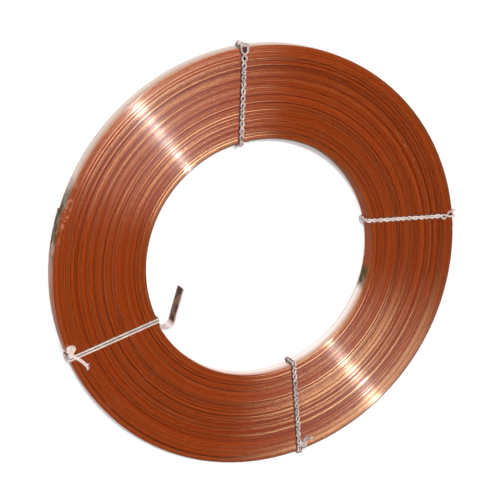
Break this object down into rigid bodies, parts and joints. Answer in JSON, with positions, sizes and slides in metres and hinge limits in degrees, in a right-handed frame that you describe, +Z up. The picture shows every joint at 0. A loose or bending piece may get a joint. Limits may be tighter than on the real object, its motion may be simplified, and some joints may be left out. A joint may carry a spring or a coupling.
{
  "type": "coil of copper strip",
  "caption": "Flat pancake coil of bare copper strip, wound on edge to edge turns with a hooked inner end and bound with twine ties.",
  "frame": {"origin": "on the coil's winding axis, at the level floor that its ties stand on", "axes": "+Z up along the winding axis; -Y towards the side of the coil that is nearest the picture's camera"},
  "size_m": [0.5859, 0.5858, 0.0275],
  "materials": {
    "copper_strip": null,
    "twine": "white twisted twine"
  },
  "bodies": {
    "root": {"strip_coil": "copper_strip", "tie_left": "twine", "tie_bottom": "twine", "tie_right": "twine", "tie_top": "twine"}
  },
  "joints": []
}
